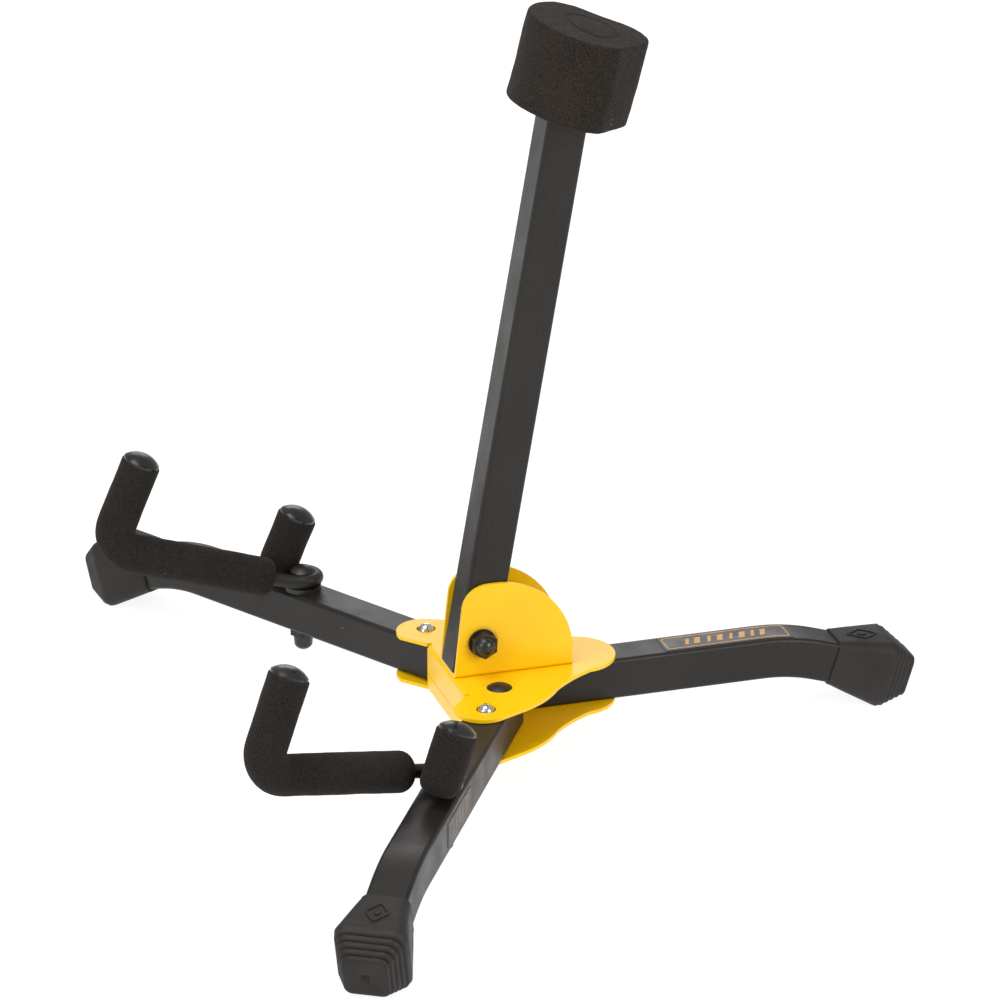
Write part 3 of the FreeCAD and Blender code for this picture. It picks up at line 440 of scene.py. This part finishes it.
def boot(which, body):
    """A stepped rubber boot on the end of a leg, cut flat at the floor."""
    mesh = bmesh.new()
    mouth_side = NECK - 0.7
    top = rounded_face(mesh, mouth_side, 3.4)
    size = TUBE + (2 * TUBE_PLAY if which == "rear" else 0) + SOCKET_PLAY
    here, side = 0.0, mouth_side
    for height, next_side in boot_profile():
        scale = next_side / side
        move = Matrix.Translation((0, 0, height)) @ Matrix.Diagonal((scale, scale, 1, 1)) @ \
            Matrix.Translation((0, 0, -here))
        top = push(mesh, top, move)
        here, side = height, next_side
    # dimple in the nose
    nose_side = side
    for share, deep in ((0.94, 0.0), (0.24, 0.0), (0.17, -0.5), (0.10, -0.7)):
        top = push(mesh, top, Matrix.Translation((0, 0, here + deep)) @
                   Matrix.Diagonal((share * nose_side / side,) * 2 + (1, 1)) @
                   Matrix.Translation((0, 0, -here)))
        here, side = here + deep, share * nose_side
    # socket for the tube
    mouth = [min(mesh.faces, key=lambda f: f.calc_center_median().z)]
    bmesh.ops.inset_region(mesh, faces=mouth, thickness=(mouth_side - size) / 2, depth=0)
    push(mesh, mouth, Matrix.Translation((0, 0, SOCKET)))
    emblem(mesh)
    bmesh.ops.scale(mesh, vec=(MM, MM, MM), verts=mesh.verts)
    bmesh.ops.transform(mesh, matrix=end_frame(which), verts=mesh.verts)
    bmesh.ops.bisect_plane(mesh, geom=list(mesh.verts) + list(mesh.edges) + list(mesh.faces),
                           plane_co=(0, 0, 0), plane_no=(0, 0, -1), clear_outer=True)
    rim = [e for e in mesh.edges if e.is_boundary]
    bmesh.ops.holes_fill(mesh, edges=rim, sides=0)
    piece = finished(which + "_boot", mesh, FINISHES["boot_rubber"], body,
                     [which + "_foot"])
    smooth(piece, 50)


def emblem(mesh):
    """A raised lozenge outline with a bead in it, on the boot's upper slope."""
    slope = math.atan((SHOULDER - NECK) / 2 / TAPER)
    out = (NECK + (SHOULDER - NECK) * EMBLEM_AT / TAPER) / 2
    lay = Matrix.Translation((-out - 0.02, 0, EMBLEM_AT)) @ \
        Matrix.Rotation(-slope, 4, "Y") @ Matrix.Rotation(math.radians(-90), 4, "Y")
    for reach, corners in ((LOZENGE, 4), (BEAD, 20)):
        before = set(mesh.verts)
        points = bmesh.ops.create_circle(mesh, cap_ends=True, radius=1, segments=corners)["verts"]
        bmesh.ops.scale(mesh, vec=(*reach, 1), verts=points)
        face = list({f for v in points for f in v.link_faces})
        if reach is LOZENGE:
            bmesh.ops.bevel(mesh, geom=points, offset=LOZENGE_ROUND, segments=4,
                            affect="VERTICES", profile=0.5, material=-1)
            face = [f for f in mesh.faces if all(v not in before for v in f.verts)]
            ring = bmesh.ops.inset_region(mesh, faces=face, thickness=LOZENGE_LINE, depth=0,
                                          use_boundary=True)["faces"]
            bmesh.ops.delete(mesh, geom=face, context="FACES")
            face = ring
        grown = bmesh.ops.extrude_face_region(mesh, geom=face)["geom"]
        lifted = [g for g in grown if isinstance(g, bmesh.types.BMVert)]
        bmesh.ops.translate(mesh, vec=(0, 0, EMBLEM_TALL), verts=lifted)
        fresh = [v for v in mesh.verts if v not in before]
        bmesh.ops.translate(mesh, vec=(0, 0, -EMBLEM_SUNK), verts=fresh)
        bmesh.ops.transform(mesh, matrix=lay, verts=fresh)


boot("rear", "hub")
for word in SIDES:
    boot(word, word + "_leg_body")

# ---------------------------------------------------------------- soft pieces

BORE_R = 3.06
ARM_LEVEL, ARM_REACH, ARM_RISE = 3.0, 84.0, 13.4
PRONG_LEAN, FRONT_PRONG, REAR_PRONG = 21.8, 42.0, 25.2
HEEL_REACH, HEEL_ASIDE = 15.8, math.radians(48.33)
CORNER_R, HEEL_R = 11.0, 6.5
FOAM_R, FOAM_START, FOAM_ROUND, FOAM_DROP = 8.5, 12.6, 5.0, 1.6
ROD_Z = 40.32
LOOP = 6.05
YOKE_TURN = {"right": 17.2, "left": 11.5}
RIM_ROUND = 0.9
STATION_GAP = 1.3
END_STEPS, END_GAP = 6, 0.4
FOAM_SWELLS, FOAM_PITS = (0.22, 0.10), (0.05, 0.50)    # height and fineness of the unevenness


def rounded_path(first, corner, last, radius):
    """Stations of (point, direction) from first to last, rounded at the corner, and a normal."""
    inward, outward = (corner - first).normalized(), (last - corner).normalized()
    turn = inward.angle(outward)
    trim = radius * math.tan(turn / 2)
    normal = inward.cross(outward).normalized()
    enter, leave = corner - inward * trim, corner + outward * trim
    centre = enter + normal.cross(inward) * radius
    stations = []
    count = max(2, round((enter - first).length / STATION_GAP))
    stations += [(first.lerp(enter, k / count), inward) for k in range(count)]
    count = max(8, round(radius * turn / STATION_GAP))
    for k in range(count):
        spin = Matrix.Rotation(turn * k / count, 3, normal)
        stations.append((centre + spin @ (enter - centre), spin @ inward))
    count = max(2, round((last - leave).length / STATION_GAP))
    stations += [(leave.lerp(last, k / count), outward) for k in range(count + 1)]
    return stations, normal


def straight_path(first, last):
    """Stations of (point, direction) from first to last, and a normal."""
    count = max(2, round((last - first).length / STATION_GAP))
    way = (last - first).normalized()
    stations = [(first.lerp(last, k / count), way) for k in range(count + 1)]
    return stations, way.orthogonal().normalized()


def station_frame(point, way, normal):
    """A station's frame, Z along its direction."""
    turn = Matrix((normal, way.cross(normal), way)).transposed().to_4x4()
    return Matrix.Translation(point) @ turn


def swept(stations, normal, radii, segments=44):
    """A solid round bar through the stations, with its own radius at each."""
    mesh = bmesh.new()
    here = station_frame(*stations[0], normal)
    bmesh.ops.create_circle(mesh, cap_ends=True, radius=radii[0], segments=segments, matrix=here)
    face = list(mesh.faces)
    for (point, way), radius, before in zip(stations[1:], radii[1:], radii):
        there = station_frame(point, way, normal)
        scale = radius / before
        face = push(mesh, face, there @ Matrix.Diagonal((scale, scale, 1, 1)) @ here.inverted())
        here = there
    bmesh.ops.recalc_face_normals(mesh, faces=mesh.faces)
    return mesh


def end_rounded(stations, radius, first_round, last_round):
    """The stations with both ends rounded off, and the bar's radius at each."""
    lengths = [0.0]
    for (a, _), (b, _) in zip(stations, stations[1:]):
        lengths.append(lengths[-1] + (b - a).length)
    quarter = [math.radians(90 * k / END_STEPS) for k in range(END_STEPS + 1)]
    (first, first_way), (last, last_way) = stations[0], stations[-1]
    rows = [(first + first_way * first_round * (1 - math.sin(a)), first_way,
             radius - first_round * (1 - math.cos(a))) for a in reversed(quarter)]
    rows += [(point, way, radius) for (point, way), length in zip(stations, lengths)
             if first_round + END_GAP < length < lengths[-1] - last_round - END_GAP]
    rows += [(last - last_way * last_round * (1 - math.sin(a)), last_way,
              radius - last_round * (1 - math.cos(a))) for a in quarter]
    return [(point, way) for point, way, _ in rows], [row[2] for row in rows]


def as_object(name, mesh):
    """A passing object for a modifier to work on."""
    data = bpy.data.meshes.new(name)
    mesh.to_mesh(data)
    mesh.free()
    made = bpy.data.objects.new(name, data)
    bpy.context.scene.collection.objects.link(made)
    return made


def evaluated(piece):
    """The piece's mesh with its modifiers applied, as a bmesh; the piece is removed."""
    graph = bpy.context.evaluated_depsgraph_get()
    mesh = bmesh.new()
    mesh.from_object(piece, graph)
    data = piece.data
    bpy.data.objects.remove(piece)
    bpy.data.meshes.remove(data)
    return mesh


def carved(solid, tool):
    """The solid bmesh less the tool bmesh."""
    piece, cutter = as_object("carving", solid), as_object("carver", tool)
    carve = piece.modifiers.new("carve", "BOOLEAN")
    carve.operation = "DIFFERENCE"
    carve.solver = "EXACT"
    carve.object = cutter
    mesh = evaluated(piece)
    data = cutter.data
    bpy.data.objects.remove(cutter)
    bpy.data.meshes.remove(data)
    return mesh


def ripple(mesh, amount, scale, seed):
    """Move points along their normals by smooth noise."""
    mesh.normal_update()
    shifts = {v: v.normal * amount * noise.noise(v.co * scale + Vector((seed, 0, 0)))
              for v in mesh.verts}
    for v, shift in shifts.items():
        v.co += shift


def yoke_place(word):
    """A yoke's own frame: X along its arm, its bolt's axis at the origin, in millimetres."""
    side = SIDES[word]
    bolt = joints[word + "_yoke_swivel"]["pos_m"]
    turn = math.radians(-90 + side * YOKE_TURN[word])
    return Matrix.Translation((bolt[0], bolt[1], ROD_Z * MM)) @ Matrix.Rotation(turn, 4, "Z") @ \
        Matrix.Scale(MM, 4)


def yoke_foams(word):
    """The two foam sleeves on one yoke's rod."""
    side = SIDES[word]
    rise, lean = math.radians(ARM_RISE), math.radians(PRONG_LEAN)
    inner_y = -side * LOOP
    corner = Vector((ARM_REACH, inner_y, (ARM_REACH - ARM_LEVEL) * math.tan(rise)))
    up = Vector((-math.sin(lean), 0, math.cos(lean)))
    arm = Vector((math.cos(rise), 0, math.sin(rise)))
    heel = Vector((math.cos(HEEL_ASIDE), side * math.sin(HEEL_ASIDE), 0)) * HEEL_REACH
    spread = math.atan2(heel.x, side * heel.y) - math.acos(LOOP / heel.length)
    leave = Vector((LOOP * math.sin(spread), side * LOOP * math.cos(spread), 0))
    front_top, rear_top = corner + up * FRONT_PRONG, heel + up * REAR_PRONG
    start = Vector((ARM_LEVEL, inner_y, 0)) + arm * ((FOAM_START - ARM_LEVEL) / arm.x)

    sleeve(word + "_arm_sleeve", word, word + "_arm_foam", (7.0 * side, 3.0 * side),
           rounded_path(start, corner, front_top, CORNER_R),
           rounded_path(start - arm * 5, corner, front_top + up * 3, CORNER_R))
    sleeve(word + "_prong_sleeve", word, word + "_prong_foam", (5.0 * side, 2.0 * side),
           straight_path(heel - up * FOAM_DROP, rear_top),
           rounded_path(leave, heel, rear_top + up * 3, HEEL_R))


def sleeve(name, word, stands_for, seeds, outer, inner):
    """Foam round the outer path, bored along the inner one; a path has stations and a normal."""
    stations, radii = end_rounded(outer[0], FOAM_R, FOAM_ROUND, RIM_ROUND)
    solid = swept(stations, outer[1], radii)
    ripple(solid, *FOAM_SWELLS, seeds[0])
    ripple(solid, *FOAM_PITS, seeds[1])
    mesh = carved(solid, swept(inner[0], inner[1], [BORE_R] * len(inner[0]), 24))
    bmesh.ops.transform(mesh, matrix=yoke_place(word), verts=mesh.verts)
    piece = finished(name, mesh, FINISHES["black_foam"], word + "_yoke_body",
                     [stands_for])
    smooth(piece, 40)


for word in SIDES:
    yoke_foams(word)

# ---------------------------------------------------------------- backrest

PAD_TALL, PAD_HALF, PAD_FRONT, PAD_BACK = 36.3, 31.0, 20.2, 29.8
PAD_TOP, MAST_LEAN, PAD_LEAN, MAST_OFFSET = 265.5, 9.8, 15.0, 1.1
MAST_END = 256.5
FLANK_END, FLAT_END = (29.5, 9.5), 10.5
GROOVE_X, GROOVE_Y, GROOVE_AT, GROOVE_HALF, GROOVE_DEEP = 15.5, 9.5, 6.0, 1.3, 0.55
GROOVE_SPAN = 11
SOCKET_LONG = 70.0
PAD_CORNER, PAD_REAR, PAD_RIM = 1.0, 8.0, 1.1
VOXEL = 0.6
FLANK_OUT, FLANK_SLOPE = 0.2, 0.15
REAR_FROM = 20
PAD_UNEVENNESS = ((0.45, 0.045, 1.0), (0.13, 0.16, 2.0), (0.05, 0.9, 3.0))


def mast_place():
    """The mast's own frame: Z along it from its bolt, in metres."""
    pivot = joints["mast_fold"]["pos_m"]
    return Matrix.Translation(pivot) @ Matrix.Rotation(math.radians(-MAST_LEAN), 4, "X")


def backrest():
    """The foam block on the mast's end: a disc's front, flat flanks and a faceted back."""
    radius = (PAD_HALF ** 2 + PAD_FRONT ** 2) / (2 * PAD_FRONT)
    mesh = bmesh.new()
    bmesh.ops.create_circle(mesh, cap_ends=True, radius=radius, segments=128,
                            matrix=Matrix.Translation((0, radius - PAD_FRONT, 0)))
    facet = Vector(FLANK_END), Vector((FLAT_END, PAD_BACK - 0.9))
    across = (facet[1] - facet[0]).orthogonal()
    cuts = [((0, PAD_BACK, 0), (0, 1, 0))]
    for side in (1, -1):
        cuts.append(((side * (PAD_HALF + FLANK_OUT), 0, 0), (side, FLANK_SLOPE, 0)))
        cuts.append(((side * facet[0].x, facet[0].y, 0), (side * abs(across.x), abs(across.y), 0)))
    for place, outward in cuts:
        bmesh.ops.bisect_plane(mesh, geom=list(mesh.verts) + list(mesh.edges) + list(mesh.faces),
                               plane_co=place, plane_no=outward, clear_outer=True)
    sharp = [v for v in mesh.verts if v.calc_edge_angle(0) > math.radians(9)]
    rear = [v for v in sharp if v.co.y > REAR_FROM]
    rest = [v for v in sharp if v.co.y <= REAR_FROM]
    for corners, size in ((rest, PAD_CORNER), (rear, PAD_REAR)):
        bmesh.ops.bevel(mesh, geom=corners, offset=size, segments=6, affect="VERTICES",
                        profile=0.5, material=-1)
    push(mesh, list(mesh.faces), Matrix.Translation((0, 0, PAD_TALL)))
    bmesh.ops.recalc_face_normals(mesh, faces=mesh.faces)
    rims = [e for e in mesh.edges if abs(e.verts[0].co.z - e.verts[1].co.z) < 1e-6]
    bmesh.ops.bevel(mesh, geom=rims, offset=PAD_RIM, segments=5, affect="EDGES", profile=0.5,
                    material=-1)
    block = as_object("block", mesh)
    remesh = block.modifiers.new("remesh", "REMESH")
    remesh.mode = "VOXEL"
    remesh.voxel_size = VOXEL
    mesh = evaluated(block)
    bmesh.ops.smooth_vert(mesh, verts=mesh.verts, factor=0.5, use_axis_x=True,
                          use_axis_y=True, use_axis_z=True)
    for amount, scale, seed in PAD_UNEVENNESS:
        ripple(mesh, amount, scale, seed)
    groove(mesh)
    mesh = carved(mesh, pad_socket())
    down = Matrix.Translation((0, -MAST_OFFSET * MM, PAD_TOP * MM)) @ \
        Matrix.Rotation(math.radians(MAST_LEAN - PAD_LEAN), 4, "X") @ \
        Matrix.Translation((0, 0, -PAD_TALL * MM)) @ Matrix.Scale(MM, 4)
    bmesh.ops.transform(mesh, matrix=mast_place() @ down, verts=mesh.verts)
    piece = finished("backrest_cushion", mesh, PAD_FOAM, "mast", ["backrest_pad"])
    smooth(piece, 55)


def groove(mesh):
    """An oval groove pressed into the top of the pad."""
    for v in mesh.verts:
        if v.co.z > PAD_TALL - 1.6:
            ring = math.hypot(v.co.x / GROOVE_X, (v.co.y - GROOVE_AT) / GROOVE_Y)
            off = abs(ring - 1) * GROOVE_SPAN
            if off < GROOVE_HALF:
                v.co.z -= GROOVE_DEEP * (0.5 + 0.5 * math.cos(math.pi * off / GROOVE_HALF))


def pad_socket():
    """The hole that the mast's end fills, in the pad's own frame."""
    mesh = bmesh.new()
    face = rounded_face(mesh, TUBE + 0.1, 1.8)
    push(mesh, face, Matrix.Translation((0, 0, SOCKET_LONG)))
    bmesh.ops.recalc_face_normals(mesh, faces=mesh.faces)
    lean = Matrix.Translation((0, 0, PAD_TALL)) @ \
        Matrix.Rotation(math.radians(PAD_LEAN - MAST_LEAN), 4, "X") @ \
        Matrix.Translation((0, 0, -PAD_TOP + MAST_END + 0.05 - SOCKET_LONG))
    bmesh.ops.transform(mesh, matrix=lean, verts=mesh.verts)
    return mesh


backrest()

# ---------------------------------------------------------------- printed labels

LEG_TOP_HALF = TUBE / 2 + TUBE_PLAY
LABEL_THICK, INK_THICK = 0.2, 0.06
REAR_LABEL_MIDDLE, SIDE_LABEL_MIDDLE = 117.0, 103.5
REAR_PRINT, SIDE_PRINT = (54.5, 11.2, 0.55, 1.6), (34.5, 8.4, 0.4, 1.2)
BEND_CUTS = 40
REAR_BARS = ((-17, 1.6), (-12.5, 2.6), (-7.2, 1.4), (-2.4, 2.6), (2.6, 1.4), (7.4, 2.6),
             (12.2, 1.4), (16.6, 2.2))
SIDE_BARS = ((-11, 1.4), (-6, 2.2), (-1, 1.4), (4, 2.2), (9.5, 1.6))


def printed(long, wide, line, corner, bars, slant=0.32):
    """An outline and slanted bars lying flat, centred on the origin, ready to bend."""
    mesh = bmesh.new()
    bmesh.ops.create_grid(mesh, x_segments=1, y_segments=1, size=0.5)
    bmesh.ops.scale(mesh, vec=(long, wide, 1), verts=mesh.verts)
    bmesh.ops.bevel(mesh, geom=list(mesh.verts), offset=corner, segments=5, affect="VERTICES",
                    profile=0.5, material=-1)
    inner = list(mesh.faces)
    bmesh.ops.inset_region(mesh, faces=inner, thickness=line, depth=0, use_boundary=True)
    bmesh.ops.delete(mesh, geom=inner, context="FACES")
    for place, width in bars:
        made = bmesh.ops.create_grid(mesh, x_segments=1, y_segments=1, size=0.5)["verts"]
        bmesh.ops.scale(mesh, vec=(width, wide * 0.5, 1), verts=made)
        for v in made:
            v.co.x += place + v.co.y * slant
    for k in range(1, BEND_CUTS):
        bmesh.ops.bisect_plane(mesh, geom=list(mesh.verts) + list(mesh.edges) + list(mesh.faces),
                               plane_co=(long * (k / BEND_CUTS - 0.5), 0, 0), plane_no=(1, 0, 0))
    push(mesh, list(mesh.faces), Matrix.Translation((0, 0, INK_THICK)))
    return mesh


def rear_print():
    """Gold outline and bars that follow the bend of the rear leg."""
    mesh = printed(*REAR_PRINT, REAR_BARS)
    half = LEG_TOP_HALF + LABEL_THICK
    for v in mesh.verts:
        along, off = v.co.x + REAR_LABEL_MIDDLE, half + v.co.z
        angle = max(0.0, (along - REAR_BEND_START) / (BEND_RADIUS + LEG_TOP_HALF))
        reach = BEND_RADIUS + off
        v.co.x = min(along, REAR_BEND_START) + reach * math.sin(angle)
        v.co.z = LEG_MIDDLE - BEND_RADIUS + reach * math.cos(angle)
    bmesh.ops.scale(mesh, vec=(MM, MM, MM), verts=mesh.verts)
    bmesh.ops.transform(mesh, matrix=leg_frame("rear"), verts=mesh.verts)
    finished("rear_leg_print", mesh, GOLD, "hub")


def side_print():
    """Faded outline and bars on the rear face of the right leg."""
    mesh = printed(*SIDE_PRINT, SIDE_BARS)
    lay = Matrix.Translation((SIDE_LABEL_MIDDLE, TUBE / 2 + LABEL_THICK, LEG_MIDDLE)) @ \
        Matrix.Rotation(math.radians(-90), 4, "X") @ Matrix.Rotation(math.pi, 4, "Z")
    bmesh.ops.transform(mesh, matrix=lay, verts=mesh.verts)
    bmesh.ops.scale(mesh, vec=(MM, MM, MM), verts=mesh.verts)
    bmesh.ops.transform(mesh, matrix=leg_frame("right"), verts=mesh.verts)
    finished("right_leg_print", mesh, FADED_GOLD, "right_leg_body")


rear_print()
side_print()

# ---------------------------------------------------------------- floor and finish

floor_mesh = bmesh.new()
bmesh.ops.create_grid(floor_mesh, x_segments=1, y_segments=1, size=6)
floor_data = bpy.data.meshes.new("floor")
floor_mesh.to_mesh(floor_data)
floor_mesh.free()
floor = bpy.data.objects.new("floor", floor_data)
bpy.context.scene.collection.objects.link(floor)
paper = Finish("paper", roughness=0.95)
paper_tone = paper.ramp(paper.noise(3, 3), 0.3, 0.7)
paper.colour(paper.mix(paper_tone, (0.20, 0.20, 0.20), (0.22, 0.22, 0.22)))
paper.shader.inputs["Emission Color"].default_value = (1, 1, 1, 1)
paper.shader.inputs["Emission Strength"].default_value = 0.90
paper.shader.inputs["Specular IOR Level"].default_value = 0.1
floor_data.materials.append(paper.material)
